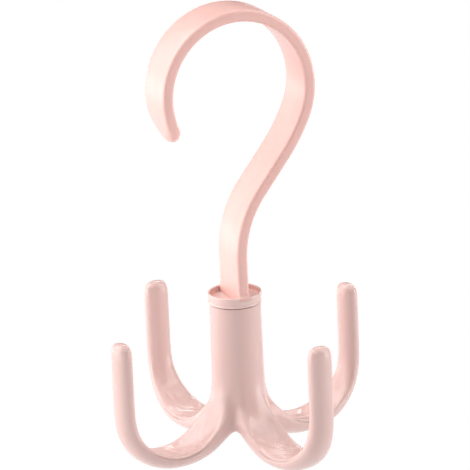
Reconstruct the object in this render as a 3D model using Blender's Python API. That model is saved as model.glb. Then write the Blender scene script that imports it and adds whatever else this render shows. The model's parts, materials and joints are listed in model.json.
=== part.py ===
# Rotating wardrobe hook: a flat strap bent into a rod hook, a cup collar and four claws on a stem.
# Metres, +Z up. The hook lies in the XZ plane and the claws turn about the Z axis.
# The origin is where that axis meets the inside of the hook's crown, which rests on the rod.

import math

import bmesh
import bpy
from mathutils import Matrix, Vector

# Gap between pieces that touch, and running clearance of the journal
seat_gap = 0.0003
journal_clearance = 0.0003

# Rod hook: a flat strap, walked from its foot in the collar to its tip
strap_width = 0.0184
strap_thickness = 0.0046
strap_corner = 0.0009
foot_rise = 0.0150
lower_bend_radius = 0.0400
diagonal_lean = math.radians(38.5)
diagonal_length = 0.0174
shoulder_radius = 0.0700
shoulder_turn = math.radians(14.0)
loop_radius = 0.0307
loop_turn = math.radians(78.0)
crown_radius = 0.0292
tip_lean = math.radians(18.0)
tip_length = 0.0098
tip_rounding = 0.0150
tip_nose = 0.0026
tip_blunt = 0.00002
tip_bead = 0.0016
bead_length = 0.0100

# Collar: a shallow cup round the strap's foot, keyed to it by a slot in its floor
collar_wall = 0.0008
collar_height = 0.0041
collar_edge = 0.0003
cup_depth = 0.0022
key_depth = 0.0009

# Pivot: a round spigot under the foot, with a screw from below that holds the claws on
spigot_radius = 0.0040
screw_radius = 0.0016
screw_length = 0.0085
screw_point = 0.0012
screw_end_radius = 0.0005
head_radius = 0.0034
head_height = 0.0024
head_edge = 0.0010
recess_width = 0.0008
recess_span = 0.0036
recess_depth = 0.0012
washer_room = 0.0014
washer_thickness = 0.0010
thrust_land = 0.0024
thrust_thickness = 0.0008

# Stem of the claws, hollow from below up to a web that turns round the spigot
stem_step = 0.0005
stem_draft = 0.0003
stem_wall = 0.0023
hollow_draft = 0.0005
web_thickness = 0.0060

# Claws: each leaves the stem along an arc, runs out level and turns up into a finger
claw_turn = math.radians(11.5)
claw_drop = 0.0583
root_radius = 0.0212
level_length = 0.0002
bend_radius = 0.0188
finger_rise = 0.0493
root_width = 0.0160
waist_width = 0.0162
finger_width = 0.0104
root_thickness = 0.0078
waist_thickness = 0.0051
finger_thickness = 0.0068
trough_depth = 0.0007
arch_rise = 0.0103
arch_wall = 0.0020
arch_lip = 0.0008
claw_count = 4

# Cage that subdivision rounds into a claw's strap, as shares of its width and thickness
ridge_across = 0.53
ridge_up = 0.14
trough_across = 0.26
side_across = 0.55
side_up = -0.55
low_across = 0.28
low_up = -1.10
keel_up = -1.15
dome_rises = (0.62, 1.02)
dome_shares = (0.86, 0.45)

# Where the stem's last ring flares outward, and where each claw's outline becomes its own
flare_turn = math.radians(22.0)
parting_turn = math.radians(42.0)

# Facets of the round shapes
turned_steps = 48
strap_bend_step = math.radians(7.0)
corner_steps = 2
tip_steps = 8
head_steps = 3
stem_steps = 4
points_per_claw = 6
root_steps = 3
bend_steps = 5
finger_steps = 3
subdivisions = 1

# Radii, outward from the strap's foot through the collar, then inward through the stem
foot_reach = math.hypot(strap_width / 2 - strap_corner, strap_thickness / 2 - strap_corner)
cup_radius = foot_reach + strap_corner + seat_gap
collar_radius = cup_radius + collar_wall
stem_top_radius = collar_radius - stem_step
stem_radius = stem_top_radius + stem_draft
hollow_radius = stem_radius - stem_wall
washer_radius = hollow_radius - washer_room
thrust_radius = stem_top_radius - thrust_land
journal_radius = spigot_radius + journal_clearance

# Heights of the stack, with the collar's rim at zero
foot_level = seat_gap - cup_depth - key_depth
stem_level = -collar_height - seat_gap
web_top = stem_level - thrust_thickness - seat_gap
web_bottom = web_top - web_thickness
washer_top = web_bottom - seat_gap
head_level = washer_top - washer_thickness - seat_gap
root_top = root_radius - claw_drop
underside = -claw_drop - waist_thickness
arch_top = underside + arch_rise


def walk_strap():
    """Sections of the strap as (centre, heading, distance), and the centre of the crown's arc."""
    crown_turn = diagonal_lean + math.pi + tip_lean - shoulder_turn - loop_turn
    runs = [
        (lower_bend_radius, -diagonal_lean, diagonal_length),
        (shoulder_radius, shoulder_turn, 0.0),
        (loop_radius, loop_turn, 0.0),
        (crown_radius, crown_turn, 0.0),
    ]
    spot = Vector((0.0, 0.0, foot_level))
    heading = math.pi / 2
    travelled = 0.0
    sections = [(spot.copy(), heading, travelled)]

    def go_straight(length):
        nonlocal spot, travelled
        spot = spot + pointing(heading) * length
        travelled += length
        sections.append((spot.copy(), heading, travelled))

    go_straight(foot_rise - foot_level)
    for radius, turn, straight in runs:
        side = math.copysign(math.pi / 2, turn)
        centre = spot + pointing(heading + side) * radius
        steps = max(2, round(abs(turn) / strap_bend_step))
        for step in range(steps):
            heading += turn / steps
            travelled += radius * abs(turn) / steps
            spot = centre - pointing(heading + side) * radius
            sections.append((spot.copy(), heading, travelled))
        if straight:
            go_straight(straight)
    for step in range(1, tip_steps + 1):
        along = (tip_length - tip_blunt) * math.sin(step / tip_steps * math.pi / 2)
        sections.append((spot + pointing(heading) * along, heading, travelled + along))
    return sections, centre, travelled + tip_length


def pointing(angle):
    """Unit vector in the XZ plane."""
    return Vector((math.cos(angle), 0.0, math.sin(angle)))


def polar(radius, angle, height):
    """Point at a radius and angle about the Z axis."""
    return Vector((radius * math.cos(angle), radius * math.sin(angle), height))


def rounding(left, length):
    """Share of the full size at a distance before a round end of the given length."""
    if left >= length:
        return 1.0
    return math.sqrt(1 - (1 - left / length) ** 2)


def rounded_rectangle(half_width, low, high, corner):
    """Points (across, up) round a rectangle with round corners."""
    corner = min(corner, half_width * 0.9, (high - low) * 0.45)
    centres = [
        (half_width - corner, high - corner),
        (corner - half_width, high - corner),
        (corner - half_width, low + corner),
        (half_width - corner, low + corner),
    ]
    points = []
    for quarter, (across, up) in enumerate(centres):
        for step in range(corner_steps + 1):
            angle = (quarter + step / corner_steps) * math.pi / 2
            points.append((across + corner * math.cos(angle), up + corner * math.sin(angle)))
    return points


def push_face(bm, face, points):
    """Extrude one face and move its corners to the given points."""
    face = bmesh.ops.extrude_discrete_faces(bm, faces=[face])["faces"][0]
    for vert, point in zip(face.verts, points):
        vert.co = point
    return face


def loft(bm, rings):
    """Skin rings of points by extruding a face through them, and close both ends."""
    first = [bm.verts.new(point) for point in rings[0]]
    face = bm.faces.new(first)
    for ring in rings[1:]:
        face = push_face(bm, face, ring)
    bm.faces.new(reversed(first))


def turned(bm, profile):
    """Spin a closed profile of (radius, height) points once round the Z axis."""
    verts = [bm.verts.new((radius, 0.0, height)) for radius, height in profile]
    edges = [bm.edges.new((verts[index - 1], verts[index])) for index in range(len(verts))]
    bmesh.ops.spin(
        bm,
        geom=verts + edges,
        cent=(0.0, 0.0, 0.0),
        axis=(0.0, 0.0, 1.0),
        angle=math.tau,
        steps=turned_steps,
        use_merge=True,
    )
    bmesh.ops.remove_doubles(bm, verts=bm.verts[:], dist=0.000001)
    bmesh.ops.dissolve_degenerate(bm, edges=bm.edges[:], dist=0.000001)


def box(bm, low, high):
    """Box between two corners."""
    size = Vector(high) - Vector(low)
    middle = (Vector(high) + Vector(low)) / 2
    place = Matrix.Translation(middle) @ Matrix.Diagonal((*size, 1.0))
    bmesh.ops.create_cube(bm, size=1.0, matrix=place)


def new_object(name, bm, material=None, parent=None):
    """Turn a bmesh into an object whose height zero is the collar's rim."""
    bmesh.ops.recalc_face_normals(bm, faces=bm.faces[:])
    mesh = bpy.data.meshes.new(name)
    bm.to_mesh(mesh)
    bm.free()
    obj = bpy.data.objects.new(name, mesh)
    bpy.context.collection.objects.link(obj)
    if parent:
        obj.parent = parent
    else:
        obj.location = rim
    if material:
        mesh.materials.append(material)
    mesh.shade_smooth()
    mesh.set_sharp_from_angle(angle=math.radians(35.0))
    return obj


def combine(target, tool, operation):
    """Cut a guide out of an object, or add it, and keep the guide out of sight."""
    tool.hide_render = True
    tool.display_type = "WIRE"
    modifier = target.modifiers.new(tool.name, "BOOLEAN")
    modifier.operation = operation
    modifier.solver = "EXACT"
    modifier.object = tool


def plastic(name, colour, roughness):
    """Moulded plastic."""
    material = bpy.data.materials.new(name)
    material.use_nodes = True
    shader = material.node_tree.nodes["Principled BSDF"]
    shader.inputs["Base Color"].default_value = (*colour, 1.0)
    shader.inputs["Roughness"].default_value = roughness
    return material


def steel(name, colour, roughness):
    """Bare or plated steel."""
    material = plastic(name, colour, roughness)
    material.node_tree.nodes["Principled BSDF"].inputs["Metallic"].default_value = 1.0
    return material


def strap_rings(sections, length):
    """Section outlines of the strap, narrowing to a rounded tongue with a bead inside its end."""
    rings = []
    for centre, heading, reached in sections:
        left = length - reached
        half_width = strap_width / 2 * rounding(left, tip_rounding)
        nose = rounding(left, tip_nose)
        swell = 0.0
        if left < bead_length:
            climb = min(1.0, (bead_length - left) / (bead_length - tip_nose))
            swell = tip_bead * (0.5 - 0.5 * math.cos(math.pi * climb))
        high = strap_thickness / 2 + swell
        low = -strap_thickness / 2
        middle = (high + low) / 2
        outline = rounded_rectangle(
            half_width, middle + (low - middle) * nose, middle + (high - middle) * nose, strap_corner
        )
        inward = pointing(heading + math.pi / 2)
        rings.append([centre + Vector((0.0, across, 0.0)) + inward * up for across, up in outline])
    return rings


def make_rod_hook():
    """The strap, with a round spigot under its foot and a blind hole for the screw."""
    bm = bmesh.new()
    loft(bm, strap_rings(strap_sections, strap_length))
    hook = new_object("rod_hook", bm, plastic("hook_plastic", pink, 0.30))

    bm = bmesh.new()
    turned(bm, [
        (0.0, -cup_depth),
        (spigot_radius, -cup_depth),
        (spigot_radius, web_bottom),
        (0.0, web_bottom),
    ])
    combine(hook, new_object("spigot_guide", bm), "UNION")

    bm = bmesh.new()
    hole_radius = screw_radius + seat_gap
    hole_top = head_level + screw_length + seat_gap
    turned(bm, [
        (0.0, hole_top),
        (hole_radius, hole_top),
        (hole_radius, web_bottom - hole_radius),
        (0.0, web_bottom - hole_radius),
    ])
    combine(hook, new_object("screw_hole_cutter", bm), "DIFFERENCE")


def make_collar():
    """The cup that the strap stands in, with a slot in its floor that keys it to the strap."""
    bm = bmesh.new()
    bore = spigot_radius + seat_gap
    edge = min(collar_edge, collar_wall * 0.45)
    turned(bm, [
        (bore, -cup_depth),
        (cup_radius, -cup_depth),
        (cup_radius, -edge),
        (cup_radius + edge, 0.0),
        (collar_radius - edge, 0.0),
        (collar_radius, -edge),
        (collar_radius, edge - collar_height),
        (collar_radius - edge, -collar_height),
        (bore, -collar_height),
    ])
    collar = new_object("swivel_collar", bm, plastic("collar_plastic", pink, 0.30))

    bm = bmesh.new()
    half_length = strap_width / 2 + seat_gap
    half_slot = strap_thickness / 2 + seat_gap
    box(
        bm,
        (-half_slot, -half_length, -cup_depth - key_depth),
        (half_slot, half_length, -cup_depth + key_depth),
    )
    combine(collar, new_object("key_slot_cutter", bm), "DIFFERENCE")


def blend(first, second, share):
    """Smooth change from one size to another."""
    share = max(0.0, min(1.0, share))
    return first + (second - first) * (share * share * (3 - 2 * share))


def cage_swell(count):
    """How far a round cage of that many points stands outside the surface that it rounds to."""
    return 3 / (2 + math.cos(math.tau / count))


def claw_stations():
    """Stations along a claw's top face as (spot, heading, share of the root, share of the bend)."""
    root_centre = Vector((stem_radius + root_radius, 0.0, root_top))
    bend_centre = Vector((root_centre.x + level_length, 0.0, bend_radius - claw_drop))
    stations = []
    for step in range(root_steps + 1):
        share = step / root_steps
        turn = parting_turn + (math.pi / 2 - parting_turn) * share
        stations.append((root_centre - pointing(turn) * root_radius, turn - math.pi / 2, share, 0.0))
    for step in range(1, bend_steps + 1):
        share = step / bend_steps
        turn = share * math.pi / 2
        stations.append((bend_centre + pointing(turn - math.pi / 2) * bend_radius, turn, 1.0, share))
    foot = stations[-1][0]
    straight = finger_rise - bend_radius - finger_thickness / 2
    for step in range(1, finger_steps + 1):
        rise = Vector((0.0, 0.0, straight * step / finger_steps))
        stations.append((foot + rise, math.pi / 2, 1.0, 1.0))
    return stations


def claw_outline(root_share, bend_share):
    """Ten points (across, up) round a claw: five over its top face, then its sides and underside."""
    width = blend(blend(root_width, waist_width, root_share), finger_width, bend_share)
    thickness = blend(blend(root_thickness, waist_thickness, root_share), finger_thickness, bend_share)
    dip = trough_depth / thickness
    right = [(trough_across, -dip), (ridge_across, ridge_up), (side_across, side_up), (low_across, low_up)]
    left = [(-across, up) for across, up in right]
    strap = [left[1], left[0], (0.0, -1.3 * dip), *right, (0.0, keel_up), left[3], left[2]]
    swell = cage_swell(len(strap))
    points = []
    for index, (across, up) in enumerate(strap):
        oval = pointing(math.tau * (0.25 + (2 - index) / len(strap))) * swell / 2
        points.append((
            width * blend(across, oval.x, bend_share),
            thickness * blend(up, oval.z - 0.5, bend_share),
        ))
    return points


def stem_cage(bm):
    """Cage of the stem from its flat top down. Returns its last ring, which flares over each claw."""
    count = claw_count * points_per_claw
    swell = cage_swell(count)
    rings = []
    for level in range(stem_steps + 1):
        share = level / stem_steps
        height = stem_level + (root_top - stem_level) * share
        radius = stem_top_radius + stem_draft * share
        rings.append([(radius, height)] * count)
    flare = []
    for index in range(count):
        over_claw = abs((index + points_per_claw // 2) % points_per_claw - points_per_claw // 2)
        reach = stem_radius
        if over_claw <= points_per_claw // 3:
            reach += root_radius * (1 - math.cos(flare_turn))
        flare.append((reach, root_top - root_radius * math.sin(flare_turn)))
    rings.append(flare)

    made = []
    for ring in rings:
        made.append([
            bm.verts.new(polar(radius * swell, math.tau * index / count, height))
            for index, (radius, height) in enumerate(ring)
        ])
    crease = bm.edges.layers.float.new("crease_edge")
    for edge in bm.faces.new(made[0]).edges:
        edge[crease] = 1.0
    for upper, lower in zip(made, made[1:]):
        for index in range(count):
            after = (index + 1) % count
            bm.faces.new((upper[index], lower[index], lower[after], upper[after]))
    return made[-1]


def make_claw_body():
    """Stem and claws as one moulding, from a coarse cage that subdivision rounds off."""
    bm = bmesh.new()
    flare = stem_cage(bm)
    swell = cage_swell(len(flare))
    arch_middle = (root_top - root_radius * math.sin(flare_turn) + arch_top) / 2
    arches = []
    for claw in range(claw_count):
        angle = math.tau * (claw + 0.5) / claw_count
        arches.append((
            bm.verts.new(polar((stem_radius + arch_lip / 2) * swell, angle, arch_middle)),
            bm.verts.new(polar((stem_radius + arch_lip) * swell, angle, arch_top)),
            bm.verts.new(polar((stem_radius - arch_wall) * swell, angle, arch_top)),
        ))
    crown = bm.verts.new((0.0, 0.0, arch_top))
    for claw in range(claw_count):
        claw_cage(bm, claw, flare, arches, crown)

    body = new_object("claw_body", bm, plastic("claw_plastic", pink, 0.30), claws_pivot)
    smooth = body.modifiers.new("rounding", "SUBSURF")
    smooth.levels = subdivisions
    smooth.render_levels = subdivisions

    bm = bmesh.new()
    turned(bm, [
        (0.0, stem_level + seat_gap),
        (thrust_radius + seat_gap, stem_level + seat_gap),
        (thrust_radius + seat_gap, web_top),
        (journal_radius, web_top),
        (journal_radius, web_bottom),
        (hollow_radius, web_bottom),
        (hollow_radius + hollow_draft, underside),
        (0.0, underside),
    ])
    combine(body, new_object("stem_hollow_cutter", bm, None, claws_pivot), "DIFFERENCE")


def claw_cage(bm, claw, flare, arches, crown):
    """Cage of one claw, joined to the stem above, the arches at its sides and the crown below."""
    angle = math.tau * claw / claw_count
    side = Vector((-math.sin(angle), math.cos(angle), 0.0))
    sections = []
    for spot, heading, root_share, bend_share in claw_stations():
        middle = polar(spot.x, angle, spot.z)
        inward = polar(-math.sin(heading), angle, math.cos(heading))
        sections.append([
            middle + side * across + inward * up
            for across, up in claw_outline(root_share, bend_share)
        ])
    root = [bm.verts.new(point) for point in sections[0]]

    # Top face into the flare
    half_top = points_per_claw // 3
    over = [flare[(claw * points_per_claw + k) % len(flare)] for k in range(-half_top - 1, half_top + 2)]
    for k in range(2 * half_top):
        bm.faces.new((over[k + 1], root[k], root[k + 1], over[k + 2]))

    # Sides into the arches, underside into the crown
    for ridge, valley, arch, top_corner, side_corner, low_corner in (
        (over[-2], over[-1], arches[claw], root[4], root[5], root[6]),
        (over[1], over[0], arches[claw - 1], root[0], root[9], root[8]),
    ):
        middle, outer, inner = arch
        bm.faces.new((ridge, valley, middle, top_corner))
        bm.faces.new((top_corner, middle, outer, side_corner))
        bm.faces.new((side_corner, outer, inner, low_corner))
        bm.faces.new((low_corner, inner, crown, root[7]))

    # Out along the stations, then the domed tip
    face = bm.faces.new(root)
    for section in sections[1:]:
        face = push_face(bm, face, section)
    tip = sections[-1]
    middle = sum(tip, Vector()) / len(tip)
    for rise, share in zip(dome_rises, dome_shares):
        top = middle + Vector((0.0, 0.0, finger_thickness / 2 * rise))
        face = push_face(bm, face, [top + (point - middle) * share for point in tip])


def make_thrust_washer():
    """Slippery washer between the collar and the web."""
    bm = bmesh.new()
    bottom = stem_level - thrust_thickness
    turned(bm, [
        (journal_radius, bottom),
        (thrust_radius, bottom),
        (thrust_radius, stem_level),
        (journal_radius, stem_level),
    ])
    new_object("thrust_washer", bm, plastic("washer_nylon", nylon_white, 0.45), claws_pivot)


def make_screw_washer():
    """Steel washer under the web, wider than its bore."""
    bm = bmesh.new()
    bore = screw_radius + seat_gap
    bottom = washer_top - washer_thickness
    turned(bm, [(bore, bottom), (washer_radius, bottom), (washer_radius, washer_top), (bore, washer_top)])
    new_object("screw_washer", bm, steel("washer_steel", zinc, 0.35))


def make_pivot_screw():
    """Pan-head screw with a cross recess, its point up in the spigot."""
    bm = bmesh.new()
    point = head_level + screw_length
    crown = head_level - head_height
    arc = []
    for step in range(head_steps + 1):
        angle = step / head_steps * math.pi / 2
        arc.append((
            head_radius - head_edge + head_edge * math.cos(angle),
            crown + head_edge - head_edge * math.sin(angle),
        ))
    turned(bm, [
        (0.0, point),
        (screw_end_radius, point),
        (screw_radius, point - screw_point),
        (screw_radius, head_level),
        (head_radius, head_level),
        *arc,
        (0.0, crown),
    ])
    screw = new_object("pivot_screw", bm, steel("screw_steel", zinc, 0.30))
    for name, span_x, span_y in (
        ("recess_cutter_x", recess_span, recess_width),
        ("recess_cutter_y", recess_width, recess_span),
    ):
        bm = bmesh.new()
        box(
            bm,
            (-span_x / 2, -span_y / 2, crown - recess_depth),
            (span_x / 2, span_y / 2, crown + recess_depth),
        )
        combine(screw, new_object(name, bm), "DIFFERENCE")


for old in list(bpy.data.objects):
    bpy.data.objects.remove(old)

pink = (0.87, 0.60, 0.55)
nylon_white = (0.80, 0.79, 0.75)
zinc = (0.62, 0.63, 0.65)

strap_sections, crown_centre, strap_length = walk_strap()
inner_crown = crown_radius - strap_thickness / 2
seat_height = crown_centre.z + math.sqrt(inner_crown**2 - crown_centre.x**2)
rim = Vector((0.0, 0.0, -seat_height))

claws_pivot = bpy.data.objects.new("claws_pivot", None)
claws_pivot.location = rim
claws_pivot.rotation_euler = (0.0, 0.0, claw_turn)
bpy.context.collection.objects.link(claws_pivot)

make_rod_hook()
make_collar()
make_claw_body()
make_thrust_washer()
make_screw_washer()
make_pivot_screw()
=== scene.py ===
import json
import math

import bmesh
import bpy
from mathutils import Matrix, Vector


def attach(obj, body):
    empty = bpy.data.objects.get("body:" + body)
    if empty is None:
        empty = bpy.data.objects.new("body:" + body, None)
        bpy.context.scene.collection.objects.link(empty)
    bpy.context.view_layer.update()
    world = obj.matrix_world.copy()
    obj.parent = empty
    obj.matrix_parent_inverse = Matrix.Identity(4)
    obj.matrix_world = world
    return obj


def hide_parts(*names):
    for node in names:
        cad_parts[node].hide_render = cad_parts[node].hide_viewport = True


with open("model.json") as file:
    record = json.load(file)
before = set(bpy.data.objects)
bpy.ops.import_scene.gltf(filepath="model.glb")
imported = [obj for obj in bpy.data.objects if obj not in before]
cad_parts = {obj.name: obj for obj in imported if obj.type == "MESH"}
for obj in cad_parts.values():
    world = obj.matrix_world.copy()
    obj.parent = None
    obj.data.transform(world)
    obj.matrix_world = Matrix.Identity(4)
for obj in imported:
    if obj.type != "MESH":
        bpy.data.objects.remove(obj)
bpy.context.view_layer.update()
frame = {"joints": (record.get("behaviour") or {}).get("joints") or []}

# Every piece is measured from the collar's rim, on the axis that the claws turn about
rimHeight = frame["joints"][0]["pos_m"][2]
rim = Matrix.Translation((0.0, 0.0, rimHeight))
seatGap = 0.0003  # between pieces that touch
journalGap = 0.0003  # between the spigot and the web that turns on it
snugGap = 0.00005  # round the strap and the spigot where the collar holds them
mergeDistance = 0.000001
turnSteps = 96  # facets round a turned piece
startRadius = 0.01  # of a new circle, whose points are then put in their places
sharpTurn = 35.0  # degrees between two faces that make a sharp edge


# Camera, placed so that the collar's rim falls on its own pixel of the picture

camera = {
    "azimuth": 23.68,  # degrees that it looks to the right of +Y
    "elevation": 17.71,
    "roll": -2.37,
    "distance": 1.8644,
    "pixelsPerMetre": 2593.8,  # at that distance
    "rimPixel": (234.64, 290.89),
    "pictureSize": 470,
    "sensor": 36.0,
    "clipEnd": 50.0,
}


def makeCamera():
    turn = math.radians(camera["azimuth"])
    rise = math.radians(camera["elevation"])
    roll = math.radians(camera["roll"])
    forward = Vector((
        math.sin(turn) * math.cos(rise), math.cos(turn) * math.cos(rise), -math.sin(rise),
    ))
    level = Vector((math.cos(turn), -math.sin(turn), 0.0))
    above = level.cross(forward)
    right = level * math.cos(roll) + above * math.sin(roll)
    up = above * math.cos(roll) - level * math.sin(roll)

    middle = camera["pictureSize"] / 2
    across = (camera["rimPixel"][0] - middle) / camera["pixelsPerMetre"]
    below = (camera["rimPixel"][1] - middle) / camera["pixelsPerMetre"]
    place = rim.to_translation() - right * across + up * below - forward * camera["distance"]

    data = bpy.data.cameras.new("camera")
    data.sensor_fit = "HORIZONTAL"
    data.sensor_width = camera["sensor"]
    focalPixels = camera["pixelsPerMetre"] * camera["distance"]
    data.lens = camera["sensor"] * focalPixels / camera["pictureSize"]
    data.clip_end = camera["clipEnd"]
    obj = bpy.data.objects.new("camera", data)
    bpy.context.collection.objects.link(obj)
    turned = Matrix((right, up, -forward)).transposed().to_4x4()
    obj.matrix_world = Matrix.Translation(place) @ turned
    bpy.context.scene.camera = obj
    print("camera placed, lens", round(data.lens, 1), "mm")


# Small helpers that every piece uses

def direction(angle):
    return Vector((math.cos(angle), 0.0, math.sin(angle)))  # in the plane of the hook


def easeBetween(first, second, share):
    share = max(0.0, min(1.0, share))
    return first + (second - first) * (share * share * (3 - 2 * share))


def finishPiece(name, bm, material, body, node, sharpAngle=sharpTurn):
    bmesh.ops.recalc_face_normals(bm, faces=bm.faces[:])
    mesh = bpy.data.meshes.new(name)
    bm.to_mesh(mesh)
    bm.free()
    mesh.transform(rim)
    mesh.materials.append(material)
    if sharpAngle:
        mesh.shade_smooth()
        mesh.set_sharp_from_angle(angle=math.radians(sharpAngle))
    else:
        for polygon in mesh.polygons:  # this way the piece keeps its own sharp edges
            polygon.use_smooth = True
    obj = bpy.data.objects.new(name, mesh)
    bpy.context.collection.objects.link(obj)
    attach(obj, body)
    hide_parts(node)
    return obj


def cutBox(obj, size, height=0.0):
    # cuts a box out of a piece, for good; its middle is on the axis, at that height
    bm = bmesh.new()
    bmesh.ops.create_cube(bm, size=1.0)
    bmesh.ops.scale(bm, verts=bm.verts[:], vec=size)
    bmesh.ops.translate(bm, verts=bm.verts[:], vec=(0.0, 0.0, height))
    bmesh.ops.recalc_face_normals(bm, faces=bm.faces[:])
    mesh = bpy.data.meshes.new("cutter")
    bm.to_mesh(mesh)
    bm.free()
    mesh.transform(rim)
    cutter = bpy.data.objects.new("cutter", mesh)
    bpy.context.collection.objects.link(cutter)
    modifier = obj.modifiers.new("cut", "BOOLEAN")
    modifier.operation = "DIFFERENCE"
    modifier.solver = "EXACT"
    modifier.object = cutter
    evaluated = obj.evaluated_get(bpy.context.evaluated_depsgraph_get())
    shaped = bpy.data.meshes.new_from_object(evaluated)
    obj.modifiers.clear()
    shaped.set_sharp_from_angle(angle=math.radians(sharpTurn))
    obj.data = shaped
    bpy.data.objects.remove(cutter)


def turnedSolid(bm, profile):
    # spins a closed profile of (radius, height) points about the upright axis
    verts = [bm.verts.new((radius, 0.0, height)) for radius, height in profile]
    edges = [bm.edges.new((verts[i - 1], verts[i])) for i in range(len(verts))]
    bmesh.ops.spin(
        bm, geom=verts + edges, cent=(0, 0, 0), axis=(0, 0, 1),
        angle=math.tau, steps=turnSteps, use_merge=True,
    )
    bmesh.ops.remove_doubles(bm, verts=bm.verts[:], dist=mergeDistance)


def roundCorner(cornerRadius, radius, height, start, end, steps=4):
    # points of a quarter round about (radius, height), between two angles in degrees
    points = []
    for i in range(steps + 1):
        angle = math.radians(start + (end - start) * i / steps)
        points.append((
            radius + cornerRadius * math.cos(angle),
            height + cornerRadius * math.sin(angle),
        ))
    return points


# Material nodes: each helper adds one node and returns the socket that it gives

def newMaterial(name):
    material = bpy.data.materials.new(name)
    material.use_nodes = True
    return material, material.node_tree.nodes["Principled BSDF"]


def addNode(tree, kind, **inputs):
    node = tree.nodes.new(kind)
    for name, value in inputs.items():
        node.inputs[name.replace("_", " ")].default_value = value
    return node


def addNoise(tree, place, settings):
    noise = addNode(tree, "ShaderNodeTexNoise", **settings)
    tree.links.new(place, noise.inputs["Vector"])
    return noise.outputs["Fac"]


def addTint(tree, source, deep, full, span=(0.0, 1.0)):
    # the deep colour up to the span's start, the full one from its end
    tint = tree.nodes.new("ShaderNodeValToRGB")
    for element, position, colour in zip(tint.color_ramp.elements, span, (deep, full)):
        element.position = position
        element.color = (*colour, 1.0)
    tree.links.new(source, tint.inputs["Fac"])
    return tint.outputs["Color"]


def addSpread(tree, source, middle, shares):
    # swings between two shares of a middle value
    low, high = (middle * share for share in shares)
    spread = addNode(tree, "ShaderNodeMapRange", To_Min=low, To_Max=high)
    tree.links.new(source, spread.inputs["Value"])
    return spread.outputs["Result"]


def addFade(tree, source, start, end, curve="LINEAR"):
    # climbs from nothing to one as the source goes from start to end
    fade = addNode(tree, "ShaderNodeMapRange", From_Min=start, From_Max=end)
    fade.interpolation_type = curve
    tree.links.new(source, fade.inputs["Value"])
    return fade.outputs["Result"]


def addProduct(tree, first, second):
    product = tree.nodes.new("ShaderNodeMath")
    product.operation = "MULTIPLY"
    tree.links.new(first, product.inputs[0])
    tree.links.new(second, product.inputs[1])
    return product.outputs["Value"]


def addHeight(tree, source):
    parts = tree.nodes.new("ShaderNodeSeparateXYZ")
    tree.links.new(source, parts.inputs["Vector"])
    return parts.outputs["Z"]


def addBump(tree, height, strength, depth, under=None):
    bump = addNode(tree, "ShaderNodeBump", Strength=strength, Distance=depth)
    tree.links.new(height, bump.inputs["Height"])
    if under is not None:
        tree.links.new(under, bump.inputs["Normal"])
    return bump.outputs["Normal"]


# Plastic of the three mouldings

plastic = {
    "hookPink": (0.84, 0.515, 0.465),
    "collarPink": (0.78, 0.565, 0.525),
    "clawPink": (0.745, 0.518, 0.482),
    "deepShare": 0.95,  # how dark the pigment drifts
    "drift": {"Scale": 190.0, "Detail": 3.0, "Distortion": 0.3},
    "driftSpan": (0.25, 0.55),
    "streakDraw": 0.07,
    "hookRoughness": 0.24,
    "clawRoughness": 0.20,
    "smear": {"Scale": 160.0, "Detail": 4.0, "Roughness": 0.6},
    "smearShares": (0.8, 1.3),  # of the roughness
    "wave": {"Scale": 75.0, "Detail": 1.0, "Roughness": 0.4},
    "hookWave": 0.00008,
    "collarWave": 0.00003,
    "clawWave": 0.00006,
    "marks": {"Scale": 105.0, "Detail": 1.5, "Roughness": 0.5, "Distortion": 1.3},
    "markReach": 0.011,  # how far above the arms' lowest run the flow marks fade out
    "markFacing": (0.25, 0.75),  # upward part of the normal where they start, and are full
    "markDepth": 0.0012,
    "bumpStrength": 1.0,
    "ior": 1.49,
    "glow": 0.12,  # share of light that goes under the skin
    "glowDepth": 0.0030,
    "glowReach": (1.0, 0.45, 0.35),  # of red, green and blue, as shares of that depth
}


def makePlastic(name, pink, roughness, waveHeight, markLevel=None):
    material, shader = newMaterial(name)
    tree = material.node_tree
    link = tree.links.new
    where = tree.nodes.new("ShaderNodeTexCoord").outputs
    strength = plastic["bumpStrength"]

    # Slow drift of the pigment, drawn out into streaks up the moulding
    drawn = addNode(tree, "ShaderNodeMapping", Scale=(1.0, 1.0, plastic["streakDraw"]))
    link(where["Object"], drawn.inputs["Vector"])
    drift = addNoise(tree, drawn.outputs["Vector"], plastic["drift"])
    deepPink = [c * plastic["deepShare"] for c in pink]
    tint = addTint(tree, drift, deepPink, pink, plastic["driftSpan"])
    link(tint, shader.inputs["Base Color"])

    # Faint smears in the gloss
    smear = addNoise(tree, where["Object"], plastic["smear"])
    gloss = addSpread(tree, smear, roughness, plastic["smearShares"])
    link(gloss, shader.inputs["Roughness"])

    # Slow waves where the plastic shrank back from the mould
    wave = addNoise(tree, where["Object"], plastic["wave"])
    relief = addBump(tree, wave, strength, waveHeight)

    # Flow marks: wrinkles in the gloss on top of the arms, where they run level
    if markLevel is not None:
        markTop = markLevel + plastic["markReach"]
        near = addFade(tree, addHeight(tree, where["Object"]), markTop, markLevel, "SMOOTHSTEP")
        upward = addFade(tree, addHeight(tree, where["Normal"]), *plastic["markFacing"])
        marks = addNoise(tree, where["Object"], plastic["marks"])
        crumple = addProduct(tree, addProduct(tree, near, upward), marks)
        relief = addBump(tree, crumple, strength, plastic["markDepth"], relief)
    link(relief, shader.inputs["Normal"])

    shader.inputs["IOR"].default_value = plastic["ior"]
    shader.inputs["Subsurface Weight"].default_value = plastic["glow"]
    shader.inputs["Subsurface Radius"].default_value = plastic["glowReach"]
    shader.inputs["Subsurface Scale"].default_value = plastic["glowDepth"]
    return material


# Steel of the screw and its washer, and nylon of the thrust washer

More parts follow.
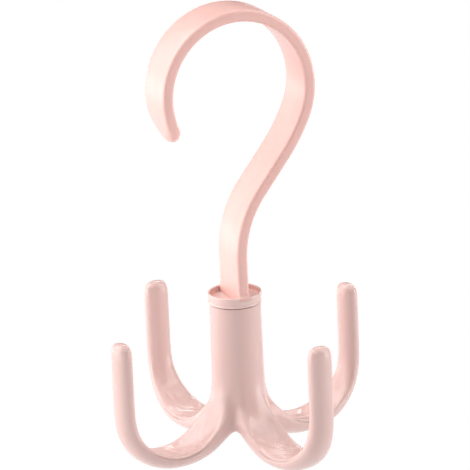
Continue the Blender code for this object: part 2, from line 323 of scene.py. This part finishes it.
steel = {
    "screwGrey": (0.60, 0.61, 0.64),
    "screwRoughness": 0.28,
    "washerGrey": (0.62, 0.63, 0.65),
    "washerRoughness": 0.35,
    "plating": {"Scale": 900.0, "Detail": 5.0},
    "deepShare": 0.7,
    "glossShares": (0.7, 1.4),  # of the roughness
    "bumpStrength": 0.3,
    "bumpDepth": 0.00002,
}
nylon = {
    "white": (0.84, 0.83, 0.79),
    "deepWhite": (0.74, 0.72, 0.66),
    "grain": {"Scale": 700.0, "Detail": 3.0},
    "bumpStrength": 0.4,
    "bumpDepth": 0.00003,
    "roughness": 0.48,
    "glow": 0.3,
    "glowDepth": 0.002,
}


def makeSteel(name, grey, roughness):
    material, shader = newMaterial(name)
    tree = material.node_tree
    link = tree.links.new
    where = tree.nodes.new("ShaderNodeTexCoord").outputs
    plating = addNoise(tree, where["Object"], steel["plating"])
    tint = addTint(tree, plating, [c * steel["deepShare"] for c in grey], grey)
    gloss = addSpread(tree, plating, roughness, steel["glossShares"])
    relief = addBump(tree, plating, steel["bumpStrength"], steel["bumpDepth"])
    link(tint, shader.inputs["Base Color"])
    link(gloss, shader.inputs["Roughness"])
    link(relief, shader.inputs["Normal"])
    shader.inputs["Metallic"].default_value = 1.0
    return material


def makeNylon(name):
    material, shader = newMaterial(name)
    tree = material.node_tree
    link = tree.links.new
    where = tree.nodes.new("ShaderNodeTexCoord").outputs
    grain = addNoise(tree, where["Object"], nylon["grain"])
    tint = addTint(tree, grain, nylon["deepWhite"], nylon["white"])
    relief = addBump(tree, grain, nylon["bumpStrength"], nylon["bumpDepth"])
    link(tint, shader.inputs["Base Color"])
    link(relief, shader.inputs["Normal"])
    shader.inputs["Roughness"].default_value = nylon["roughness"]
    shader.inputs["Subsurface Weight"].default_value = nylon["glow"]
    shader.inputs["Subsurface Scale"].default_value = nylon["glowDepth"]
    return material


# Hook: one flat strap, swept from its foot in the collar to its tip

strap = {
    "width": 0.0184,
    "thickness": 0.0046,
    "corner": 0.0009,  # only sets the collar's width
    "softCorner": 0.0014,  # the one that is seen
    "cornerSteps": 7,
    "lugReach": 0.0013,  # how far the foot stands out into the collar's rim
    "lugCorner": 0.00005,
    "lugRise": 0.0018,
    "lugDepth": 0.0013,
    "lugSteps": 6,
    "footRise": 0.0150,
    "diagonalLean": 38.5,
    "lowerBend": 0.0400,
    "diagonal": 0.0174,
    "shoulder": (0.0700, 14.0),  # radius and degrees
    "loop": (0.0307, 78.0),
    "crown": 0.0292,
    "tipLean": 18.0,
    "tipLength": 0.0098,
    "tipReach": 0.999,  # share of the tip that the sections cover; its very end has no width
    "tipRounding": 0.0150,
    "tipNose": 0.0036,
    "tipBead": 0.0013,
    "beadLength": 0.0100,
    "bendStep": 2.0,
    "straightSteps": 4,
    "tipSteps": 20,
    "sharpAngle": 30.0,
}


def roundedShare(left, length):
    if left >= length:
        return 1.0
    return math.sqrt(max(0.0, 1 - (1 - left / length) ** 2))


def strapStations():
    # (place, heading, length so far) from the foot to the tip, down the middle of the strap
    spot = Vector((0.0, 0.0, footLevel))
    heading = math.pi / 2
    travelled = 0.0
    stations = []

    def goStraight(length, steps=1):
        nonlocal spot, travelled
        for i in range(steps):
            spot = spot + direction(heading) * length / steps
            travelled += length / steps
            stations.append((spot, heading, travelled))

    def goRound(radius, turn):
        nonlocal spot, heading, travelled
        side = math.copysign(math.pi / 2, turn)
        centre = spot + direction(heading + side) * radius
        steps = max(2, round(abs(math.degrees(turn)) / strap["bendStep"]))
        for i in range(steps):
            heading += turn / steps
            travelled += radius * abs(turn) / steps
            spot = centre - direction(heading + side) * radius
            stations.append((spot, heading, travelled))

    lean = math.radians(strap["diagonalLean"])
    goStraight(0.0)
    for level in (-collar["cupDepth"], -strap["lugDepth"]):
        # two stations a hair apart make a ledge
        goStraight(level - snugGap - spot.z)
        goStraight(snugGap)
    goStraight(strap["lugDepth"])
    goStraight(strap["lugRise"], strap["lugSteps"])
    goStraight(strap["footRise"] - strap["lugRise"], strap["straightSteps"])
    goRound(strap["lowerBend"], -lean)
    goStraight(strap["diagonal"], strap["straightSteps"])
    shoulderRadius, shoulderTurn = strap["shoulder"]
    loopRadius, loopTurn = strap["loop"]
    goRound(shoulderRadius, math.radians(shoulderTurn))
    goRound(loopRadius, math.radians(loopTurn))
    crownTurn = lean + math.pi + math.radians(strap["tipLean"] - shoulderTurn - loopTurn)
    goRound(strap["crown"], crownTurn)
    tipStart = travelled
    for i in range(1, strap["tipSteps"] + 1):
        share = math.sin(i / strap["tipSteps"] * math.pi / 2)
        goStraight(tipStart + strap["tipLength"] * strap["tipReach"] * share - travelled)
    return stations, tipStart + strap["tipLength"]


def strapSection(spot, left):
    # the strap's section as (across, up) points of a rounded rectangle, corner by corner
    width, thickness = strap["width"], strap["thickness"]
    roundAcross = roundUp = strap["softCorner"]
    swell = 0.0
    reach = math.inf
    if left < strap["tipRounding"]:
        # the end narrows into a round tongue, with a bead on the side that faces the rod
        bead, nose = strap["beadLength"], strap["tipNose"]
        if left < bead:
            climb = min(1.0, (bead - left) / (bead - nose))
            swell = strap["tipBead"] * (0.5 - 0.5 * math.cos(math.pi * climb))
        softer = easeBetween(1.0, 0.0, left / bead)
        width *= roundedShare(left, strap["tipRounding"])
        high = (thickness + swell) * roundedShare(left, nose)
        roundAcross = min(roundAcross + (width / 2 - roundAcross) * softer, width / 2)
        roundUp = min(roundUp + (high / 2 - roundUp) * softer, high / 2)
    else:
        high = thickness
        above = spot.z
        if -collar["cupDepth"] - snugGap / 2 < above < strap["lugRise"]:
            short = max(0.0, min(1.0, 1 - above / strap["lugRise"]))
            width += 2 * strap["lugReach"] * (1 - math.sqrt(1 - short * short))
            roundAcross = roundUp = easeBetween(strap["softCorner"], strap["lugCorner"], short)
            reach = collarRadius - snugGap  # a hair inside the collar's outer wall
            if above < -strap["lugDepth"] - snugGap / 2:
                reach -= collar["wall"]
    points = []
    for quarter in range(4):
        sideAcross = 1 if quarter in (0, 3) else -1
        sideUp = 1 if quarter < 2 else -1
        for i in range(strap["cornerSteps"] + 1):
            angle = math.tau / 4 * (quarter + i / strap["cornerSteps"])
            across = sideAcross * (width / 2 - roundAcross) + roundAcross * math.cos(angle)
            up = swell / 2 + sideUp * (high / 2 - roundUp) + roundUp * math.sin(angle)
            if math.hypot(across, up) > reach:
                across = math.copysign(math.sqrt(reach ** 2 - up ** 2), across)
            points.append((across, up))
    return points


def makeHook(material):
    bm = bmesh.new()
    stations, length = strapStations()
    corners = 4 * (strap["cornerSteps"] + 1)
    bmesh.ops.create_circle(bm, cap_ends=True, segments=corners, radius=startRadius)
    face = bm.faces[:][0]
    for i, (spot, heading, travelled) in enumerate(stations):
        if i:
            face = bmesh.ops.extrude_discrete_faces(bm, faces=[face])["faces"][0]
        inward = direction(heading + math.pi / 2)
        for vert, (across, up) in zip(face.verts, strapSection(spot, length - travelled)):
            vert.co = spot + inward * up + Vector((0.0, across, 0.0))

    # Round spigot under the foot, with the blind hole that the screw cuts
    holeRadius = screw["radius"] + seatGap
    holeTop = headLevel + screw["length"] + seatGap
    spigotTop = snugGap - collar["cupDepth"] - collar["keyDepth"]
    turnedSolid(bm, [
        (0.0, spigotTop),
        (pivot["spigotRadius"], spigotTop),
        (pivot["spigotRadius"], webBottom),
        (holeRadius, webBottom),
        (holeRadius, holeTop),
        (0.0, holeTop),
    ])
    finishPiece(
        "hook_strap", bm, material, "hook", "rod_hook", strap["sharpAngle"],
    )
    print("hook strap made")


# Collar: a shallow cup with a rounded foot

collar = {
    "wall": 0.0008,
    "height": 0.0041,
    "edge": 0.00035,
    "lip": 0.00045,
    "lipStart": 60.0,  # degrees up from level, where the foot's round leaves the wall
    "lipSteps": 8,
    "barrel": 0.00025,  # how far the wall draws in on its way down
    "wallStart": 1.2,  # edge radii below the rim
    "wallSteps": 8,
    "cupDepth": 0.0022,
    "keyDepth": 0.0009,
    "notchSpan": 2.2,  # outer radii, so that the cut runs out past the wall on both sides
    "sharpAngle": 50.0,
}


def makeCollar(material):
    bm = bmesh.new()
    outer = collarRadius
    inner = outer - collar["wall"]
    edge, lip = collar["edge"], collar["lip"]
    bottom = -collar["height"]
    bore = pivot["spigotRadius"] + snugGap
    wallTop, wallFoot = -collar["wallStart"] * edge, bottom + 2 * lip
    wall = []
    for i in range(collar["wallSteps"] + 1):
        share = i / collar["wallSteps"]
        radius = outer - collar["barrel"] * share ** 2
        wall.append((radius, wallTop + (wallFoot - wallTop) * share))
    boreTop = -collar["cupDepth"] - collar["keyDepth"]
    turnedSolid(bm, [
        (bore, boreTop),
        (0.0, boreTop),
        (0.0, -collar["cupDepth"]),
        *roundCorner(lip, inner - lip, lip - collar["cupDepth"], -90, 0),
        *roundCorner(edge, inner + edge, -edge, 180, 90),
        *roundCorner(edge, outer - edge, -edge, 90, 0),
        *wall,
        *roundCorner(lip, outer - lip, bottom + lip, collar["lipStart"], -90, collar["lipSteps"]),
        (bore, bottom),
    ])
    obj = finishPiece(
        "collar_cup", bm, material, "hook", "swivel_collar",
        collar["sharpAngle"],
    )
    slotWidth = strap["thickness"] + 2 * snugGap
    slotSpan = strap["width"] + 2 * snugGap
    cutBox(obj, (slotWidth, slotSpan, 2 * collar["keyDepth"]), -collar["cupDepth"])
    # one box cuts both of the notches that hold the foot's lugs
    cutBox(obj, (slotWidth, collar["notchSpan"] * outer, 2 * strap["lugDepth"]))
    print("collar made")


# Claws: a hollow stem and four curved arms in one moulding

claws = {
    "count": 4,
    "turn": 11.5,
    "outerPoints": 24,  # round the outside of the stem's cage
    "innerPoints": 16,  # round its inside
    "stemStep": 0.0005,
    "stemDraft": 0.0003,
    "stemSteps": 4,
    "stemWall": 0.0023,
    "hollowDraft": 0.0005,
    "hollowShares": (0.5, 0.9),  # of that draft, halfway down the hollow and at its foot
    "webLoop": 0.0012,  # a ring this far below the web keeps its corner tight
    "mouthRise": 0.006,  # from the arches' tops up to the hollow's foot
    "mouthLifts": (0.0011, 0.0002),  # of the mouth's two rings, above the arches' tops
    "keelDepth": 0.0040,  # how far the mouth hangs down below each arm
    "keelSide": 0.93,  # share of that at the keel's two sides
    "drop": 0.0583,
    "rootRadius": 0.0212,
    "level": 0.0002,
    "bendRadius": 0.0188,
    "rise": 0.0493,
    "widths": (0.0160, 0.0162, 0.0104),  # root, waist, finger
    "thicknesses": (0.0078, 0.0051, 0.0068),
    # shares of width and thickness on an arm's right side, from its trough (None) to its keel
    "section": ((0.26, None), (0.53, 0.14), (0.55, -0.55), (0.28, -1.10), (0.0, -1.15)),
    "trough": 0.0007,
    "troughMiddle": 1.3,  # times as deep as at its sides
    "tipRings": ((0.62, 0.86), (1.02, 0.45)),  # rise in half thicknesses, share of the size
    "archRise": 0.0103,
    "archLip": 0.0008,
    "archInner": 0.0012,
    "flareTurn": 22.0,
    "partingTurn": 42.0,
    "rootSteps": 3,
    "bendSteps": 5,
    "fingerSteps": 3,
    "smoothing": 3,
}


def cageSwell(count):
    # how far a round cage of that many points stands outside the surface that it rounds to
    return 3 / (2 + math.cos(math.tau / count))


def byAngle(verts):
    slack = 0.01  # keeps a point that lies just short of +X in the first place
    return sorted(verts, key=lambda vert: (math.atan2(vert.co.y, vert.co.x) + slack) % math.tau)


def placeRing(ring, radius, height):
    reach = radius * cageSwell(len(ring))
    for vert in ring:
        flat = vert.co.xy.normalized() * reach
        vert.co = (flat.x, flat.y, height)


def newRing(bm, count, radius, height):
    ring = byAngle(bmesh.ops.create_circle(bm, segments=count, radius=startRadius)["verts"])
    placeRing(ring, radius, height)
    return ring


def ringEdges(bm, ring):
    return [bm.edges.get((ring[i - 1], ring[i])) for i in range(len(ring))]


def ringRun(ring, start, count):
    # neighbours on a closed ring, counted from a place that may lie before its first point
    return [ring[(start + k) % len(ring)] for k in range(count)]


def extendRing(bm, ring, radius, height):
    made = bmesh.ops.extrude_edge_only(bm, edges=ringEdges(bm, ring))["geom"]
    after = byAngle([item for item in made if isinstance(item, bmesh.types.BMVert)])
    placeRing(after, radius, height)
    return after


def armPoints(rootShare, bendShare):
    # (across, up) points of the arm's section, clockwise from its left rim
    root, waist, finger = claws["widths"]
    width = easeBetween(easeBetween(root, waist, rootShare), finger, bendShare)
    root, waist, finger = claws["thicknesses"]
    thickness = easeBetween(easeBetween(root, waist, rootShare), finger, bendShare)
    dip = claws["trough"] / thickness
    right = [(across, -dip if up is None else up) for across, up in claws["section"]]
    keel = right.pop()
    left = [(-across, up) for across, up in right]
    middle = (0.0, -claws["troughMiddle"] * dip)
    section = [left[1], left[0], middle, *right, keel, left[3], left[2]]
    points = []
    for i, (across, up) in enumerate(section):
        # round the bend it eases into the oval of the finger, whose top is the trough's middle
        angle = math.tau * (0.25 + (2 - i) / len(section))
        oval = direction(angle) * cageSwell(len(section)) / 2
        points.append((
            width * easeBetween(across, oval.x, bendShare),
            thickness * easeBetween(up, oval.z - 0.5, bendShare),
        ))
    return points


def armStations():
    # (place, heading, share of the root, share of the bend) from the stem to the finger's end
    bend = claws["bendRadius"]
    rootCentre = Vector((stemRadius + claws["rootRadius"], 0.0, rootTop))
    bendCentre = Vector((rootCentre.x + claws["level"], 0.0, bend - claws["drop"]))
    parting = math.radians(claws["partingTurn"])
    stations = []
    for i in range(claws["rootSteps"] + 1):
        share = i / claws["rootSteps"]
        turn = parting + (math.pi / 2 - parting) * share
        spot = rootCentre - direction(turn) * claws["rootRadius"]
        stations.append((spot, turn - math.pi / 2, share, 0.0))
    for i in range(1, claws["bendSteps"] + 1):
        share = i / claws["bendSteps"]
        turn = share * math.pi / 2
        spot = bendCentre + direction(turn - math.pi / 2) * bend
        stations.append((spot, turn, 1.0, share))
    foot = stations[-1][0]
    straight = claws["rise"] - bend - claws["thicknesses"][2] / 2
    for i in range(1, claws["fingerSteps"] + 1):
        rise = Vector((0.0, 0.0, straight * i / claws["fingerSteps"]))
        stations.append((foot + rise, math.pi / 2, 1.0, 1.0))
    return stations


def growArm(bm, angle):
    # pushes a ten-sided face out along the stations; returns the ring that joins the stem
    turn = Matrix.Rotation(angle, 3, "Z")
    side = turn @ Vector((0.0, 1.0, 0.0))
    sections = []
    for spot, heading, rootShare, bendShare in armStations():
        inward = turn @ direction(heading + math.pi / 2)
        sections.append([
            turn @ spot + side * across + inward * up
            for across, up in armPoints(rootShare, bendShare)
        ])
    ring = bmesh.ops.create_circle(bm, segments=len(sections[0]), radius=startRadius)["verts"]
    face = bmesh.ops.contextual_create(bm, geom=ring)["faces"][0]
    root = face.verts[:]
    for vert, point in zip(root, sections[0]):
        vert.co = point
    tip = sections[-1]
    middle = sum(tip, Vector()) / len(tip)
    for rise, share in claws["tipRings"]:
        top = middle + Vector((0.0, 0.0, claws["thicknesses"][2] / 2 * rise))
        sections.append([top + (point - middle) * share for point in tip])
    for section in sections[1:]:
        face = bmesh.ops.extrude_discrete_faces(bm, faces=[face])["faces"][0]
        for vert, point in zip(face.verts, section):
            vert.co = point
    return root


def makeClaws(material):
    bm = bmesh.new()
    crease = bm.edges.layers.float.new("crease_edge")
    count = claws["count"]
    outerRun = claws["outerPoints"] // count  # steps of a ring from one arm to the next
    innerRun = claws["innerPoints"] // count

    # Outside of the stem, from its rounded top edge down to the flare over each arm
    edge = collar["edge"]
    top = newRing(bm, claws["outerPoints"], stemTopRadius - edge, stemLevel)
    ring = extendRing(bm, top, stemTopRadius, stemLevel)
    ring = extendRing(bm, ring, stemTopRadius, stemLevel - edge)
    for i in range(1, claws["stemSteps"] + 1):
        radius = stemTopRadius + claws["stemDraft"] * i / claws["stemSteps"]
        height = stemLevel + (rootTop - stemLevel) * i / claws["stemSteps"]
        ring = extendRing(bm, ring, radius, height)
    flareTurn = math.radians(claws["flareTurn"])
    flareHeight = rootTop - claws["rootRadius"] * math.sin(flareTurn)
    flare = extendRing(bm, ring, stemRadius, flareHeight)
    swell = cageSwell(claws["outerPoints"])
    bulge = claws["rootRadius"] * (1 - math.cos(flareTurn)) * swell
    for i, vert in enumerate(flare):
        if i % outerRun != outerRun // 2:
            vert.co += vert.co.xy.normalized().to_3d() * bulge

    # Inside: thrust recess, journal, web and hollow, down to the mouth between the arms
    hidden = [newRing(bm, claws["innerPoints"], thrustRadius + seatGap, stemLevel)]
    for radius, height in (
        (thrustRadius + seatGap, webTop),
        (journalRadius, webTop),
        (journalRadius, webBottom),
        (hollowRadius, webBottom),
    ):
        hidden.append(extendRing(bm, hidden[-1], radius, height))
    sharpRings = [top, *hidden[:4]]
    for i in range(claws["innerPoints"] // 2):
        # three steps of the outer ring meet two of the inner one
        outer = ringRun(top, 3 * i, 4)
        inner = ringRun(hidden[0], 2 * i, 3)
        for corners in (
            (outer[0], outer[1], inner[1], inner[0]),
            (outer[1], outer[2], inner[1]),
            (outer[2], outer[3], inner[2], inner[1]),
        ):
            bmesh.ops.contextual_create(bm, geom=corners)
    ring = extendRing(bm, hidden[-1], hollowRadius, webBottom - claws["webLoop"])
    deep = archTop + claws["mouthRise"]
    for share, height in zip(claws["hollowShares"], ((webBottom + deep) / 2, deep)):
        ring = extendRing(bm, ring, hollowRadius + claws["hollowDraft"] * share, height)
    for lift in claws["mouthLifts"]:
        ring = extendRing(bm, ring, hollowRadius + claws["hollowDraft"], archTop + lift)
        for i, vert in enumerate(ring):
            step = i % innerRun
            if step != innerRun // 2:
                vert.co.z -= claws["keelDepth"] * (claws["keelSide"] if step else 1.0)
    mouth = ring

    # Arches between the arms, then the arms
    arches = []
    for i in range(count):
        turn = Matrix.Rotation(math.tau * (i + 0.5) / count, 3, "Z")
        arches.append([
            bmesh.ops.create_vert(bm, co=turn @ Vector((radius * swell, 0.0, height)))["vert"][0]
            for radius, height in (
                (stemRadius + claws["archLip"] / 2, (flareHeight + archTop) / 2),
                (stemRadius + claws["archLip"], archTop),
                (stemRadius - claws["archInner"], archTop),
            )
        ])
    for i in range(count):
        root = growArm(bm, math.tau * i / count)
        over = ringRun(flare, outerRun * i - outerRun // 2, outerRun + 1)
        below = ringRun(mouth, innerRun * i - innerRun // 2, innerRun + 1)
        quads = [(over[k + 1], root[k], root[k + 1], over[k + 2]) for k in range(4)]
        for ridge, valley, arch, high, wide, low, inner, corner in (
            (over[5], over[6], arches[i], root[4], root[5], root[6], below[4], below[3]),
            (over[1], over[0], arches[i - 1], root[0], root[9], root[8], below[0], below[1]),
        ):
            middle, outside, inside = arch
            quads += [
                (ridge, valley, middle, high),
                (high, middle, outside, wide),
                (wide, outside, inside, low),
                (low, inside, inner, corner),
                (low, corner, below[2], root[7]),
            ]
        for quad in quads:
            bmesh.ops.contextual_create(bm, geom=quad)
    for ring in sharpRings:
        for item in ringEdges(bm, ring):
            item[crease] = 1.0
            item.smooth = False
    turn = Matrix.Rotation(math.radians(claws["turn"]), 3, "Z")
    bmesh.ops.rotate(bm, verts=bm.verts[:], matrix=turn)
    obj = finishPiece("claw_stem", bm, material, "claws", "claw_body", None)
    smooth = obj.modifiers.new("rounding", "SUBSURF")
    smooth.levels = smooth.render_levels = claws["smoothing"]
    print("claws made")


# Pivot: a spigot under the foot, and the screw and washers that hold the claws on it

pivot = {
    "spigotRadius": 0.0040,
    "webThickness": 0.0060,
    "thrustThickness": 0.0008,
    "thrustLand": 0.0024,
    "washerThickness": 0.0010,
    "washerRoom": 0.0014,
    "washerEdge": 0.00012,
}
screw = {
    "radius": 0.0016,
    "length": 0.0085,
    "point": 0.0012,
    "endRadius": 0.0005,
    "headRadius": 0.0034,
    "headHeight": 0.0024,
    "headEdge": 0.0010,
    "headSteps": 8,
    "slotWidth": 0.0008,
    "slotSpan": 0.0036,
    "slotDepth": 0.0012,
}


def makeWasher(name, material, body, bore, radius, top, thickness):
    bm = bmesh.new()
    edge = pivot["washerEdge"]
    bottom = top - thickness
    turnedSolid(bm, [
        (bore, bottom + edge),
        (bore, top - edge),
        (bore + edge, top),
        *roundCorner(edge, radius - edge, top - edge, 90, 0),
        *roundCorner(edge, radius - edge, bottom + edge, 0, -90),
        (bore + edge, bottom),
    ])
    finishPiece(name + "_ring", bm, material, body, name)
    print(name.replace("_", " "), "made")


def makeScrew(material):
    bm = bmesh.new()
    point = headLevel + screw["length"]
    crown = headLevel - screw["headHeight"]
    edge = screw["headEdge"]
    turnedSolid(bm, [
        (0.0, point),
        (screw["endRadius"], point),
        (screw["radius"], point - screw["point"]),
        (screw["radius"], headLevel),
        (screw["headRadius"], headLevel),
        *roundCorner(edge, screw["headRadius"] - edge, crown + edge, 0, -90, screw["headSteps"]),
        (0.0, crown),
    ])
    obj = finishPiece("screw_body", bm, material, "hook", "pivot_screw")
    span, width = screw["slotSpan"], screw["slotWidth"]
    for spanX, spanY in ((span, width), (width, span)):
        cutBox(obj, (spanX, spanY, 2 * screw["slotDepth"]), crown)
    print("screw made")


# Radii and heights that follow from all those sizes, with the rim at height zero

footReach = math.hypot(
    strap["width"] / 2 - strap["corner"], strap["thickness"] / 2 - strap["corner"],
)
collarRadius = footReach + strap["corner"] + seatGap + collar["wall"]
stemTopRadius = collarRadius - claws["stemStep"]
stemRadius = stemTopRadius + claws["stemDraft"]
hollowRadius = stemRadius - claws["stemWall"]
thrustRadius = stemTopRadius - pivot["thrustLand"]
washerRadius = hollowRadius - pivot["washerRoom"]
journalRadius = pivot["spigotRadius"] + journalGap
footLevel = seatGap - collar["cupDepth"] - collar["keyDepth"]
stemLevel = -collar["height"] - seatGap
webTop = stemLevel - pivot["thrustThickness"] - seatGap
webBottom = webTop - pivot["webThickness"]
washerTop = webBottom - seatGap
headLevel = washerTop - pivot["washerThickness"] - seatGap
rootTop = claws["rootRadius"] - claws["drop"]
archTop = claws["archRise"] - claws["drop"] - claws["thicknesses"][1]


# Studio: a pale floor far below, four low soft boxes at the sides and the rest high up

studio = {
    "floorDrop": 2.0,
    "floorRadius": 30.0,
    "floorPaint": (0.08, 0.08, 0.08, 1.0),
    "floorRoughness": 0.9,
    "floorGlow": 1.0,  # keeps the pale floor free of shadow
    "white": (1.0, 1.0, 1.0, 1.0),
    "boxDistance": 1.6,
    "boxes": {
        # degrees round from the camera to its right, degrees up, width, height, watts
        "left_box": (-76, 12, 1.68, 1.5, 24.0),
        "left_back_box": (-120, 12, 0.84, 1.5, 5.0),
        "right_box": (87, 12, 0.90, 1.5, 15.5),
        "right_back_box": (152, 12, 0.95, 1.5, 5.8),
        "left_high_box": (-108, 52, 1.6, 1.0, 16.7),
        "right_high_box": (90, 52, 1.0, 1.0, 5.8),
        "front_high_box": (0, 52, 1.0, 1.0, 6.0),
        "top_box": (180, 80, 1.3, 1.2, 4.0),
        "back_strip": (172, 40, 0.50, 0.10, 2.5),
    },
}


def makeStudio():
    bm = bmesh.new()
    bmesh.ops.create_circle(
        bm, cap_ends=True, segments=turnSteps, radius=studio["floorRadius"],
    )
    mesh = bpy.data.meshes.new("floor")
    bm.to_mesh(mesh)
    bm.free()
    mesh.transform(Matrix.Translation((0, 0, rimHeight - studio["floorDrop"])))
    material, shader = newMaterial("floor_paint")
    shader.inputs["Base Color"].default_value = studio["floorPaint"]
    shader.inputs["Roughness"].default_value = studio["floorRoughness"]
    shader.inputs["Emission Color"].default_value = studio["white"]
    shader.inputs["Emission Strength"].default_value = studio["floorGlow"]
    mesh.materials.append(material)
    obj = bpy.data.objects.new("floor", mesh)
    bpy.context.collection.objects.link(obj)

    aim = Vector((0.0, 0.0, rimHeight))
    towardCamera = math.radians(270.0 - camera["azimuth"])
    for name, (turn, rise, wide, high, watts) in studio["boxes"].items():
        data = bpy.data.lights.new(name, "AREA")
        data.shape = "RECTANGLE"
        data.size = wide
        data.size_y = high
        data.energy = watts
        light = bpy.data.objects.new(name, data)
        bpy.context.collection.objects.link(light)
        turned = Matrix.Rotation(towardCamera + math.radians(turn), 3, "Z")
        light.location = aim + turned @ direction(math.radians(rise)) * studio["boxDistance"]
        light.rotation_euler = (aim - light.location).to_track_quat("-Z", "Y").to_euler()

    # White backdrop for the camera, and no other light from it
    world = bpy.data.worlds.new("backdrop")
    world.use_nodes = True
    tree = world.node_tree
    background = tree.nodes["Background"]
    background.inputs["Color"].default_value = studio["white"]
    path = tree.nodes.new("ShaderNodeLightPath")
    tree.links.new(path.outputs["Is Camera Ray"], background.inputs["Strength"])
    bpy.context.scene.world = world
    bpy.context.scene.view_settings.view_transform = "Standard"
    print("studio made")


makeCamera()
makeHook(makePlastic(
    "hook_gloss", plastic["hookPink"], plastic["hookRoughness"], plastic["hookWave"],
))
makeCollar(makePlastic(
    "collar_gloss", plastic["collarPink"], plastic["clawRoughness"], plastic["collarWave"],
))
makeClaws(makePlastic(
    "claw_gloss", plastic["clawPink"], plastic["clawRoughness"], plastic["clawWave"],
    rimHeight - claws["drop"],
))
makeWasher(
    "thrust_washer", makeNylon("washer_nylon"), "claws",
    journalRadius, thrustRadius, stemLevel, pivot["thrustThickness"],
)
makeWasher(
    "screw_washer", makeSteel("washer_zinc", steel["washerGrey"], steel["washerRoughness"]),
    "hook", screw["radius"] + seatGap, washerRadius, washerTop, pivot["washerThickness"],
)
makeScrew(makeSteel("screw_zinc", steel["screwGrey"], steel["screwRoughness"]))
makeStudio()
